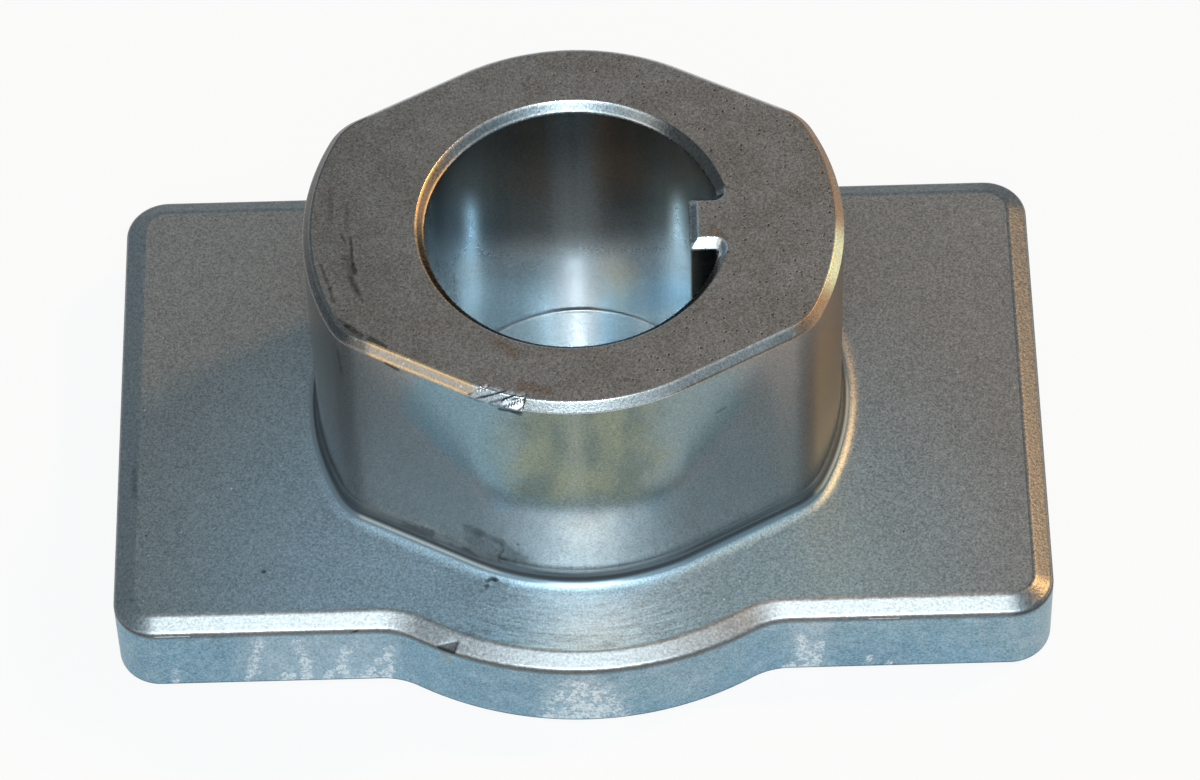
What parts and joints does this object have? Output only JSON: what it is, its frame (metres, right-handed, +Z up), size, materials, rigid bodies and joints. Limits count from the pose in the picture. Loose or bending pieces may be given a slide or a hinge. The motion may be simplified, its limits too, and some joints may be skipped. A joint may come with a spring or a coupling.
{
  "type": "mower blade adapter",
  "caption": "Sintered steel blade adapter: a hub with four flats and a keyed crankshaft socket on a flat blade plate with rounded bosses at its long sides.",
  "frame": {"origin": "on the socket's axis, at the plate's underside", "axes": "+Z up the hub towards the socket's mouth, +X along the plate towards the key, +Y across the plate"},
  "size_m": [0.0714, 0.0502, 0.0293],
  "materials": {
    "sintered_steel": "fine-grained satin steel, lightly stained and scuffed"
  },
  "bodies": {
    "root": {"blade_adapter": "sintered_steel"}
  },
  "joints": []
}
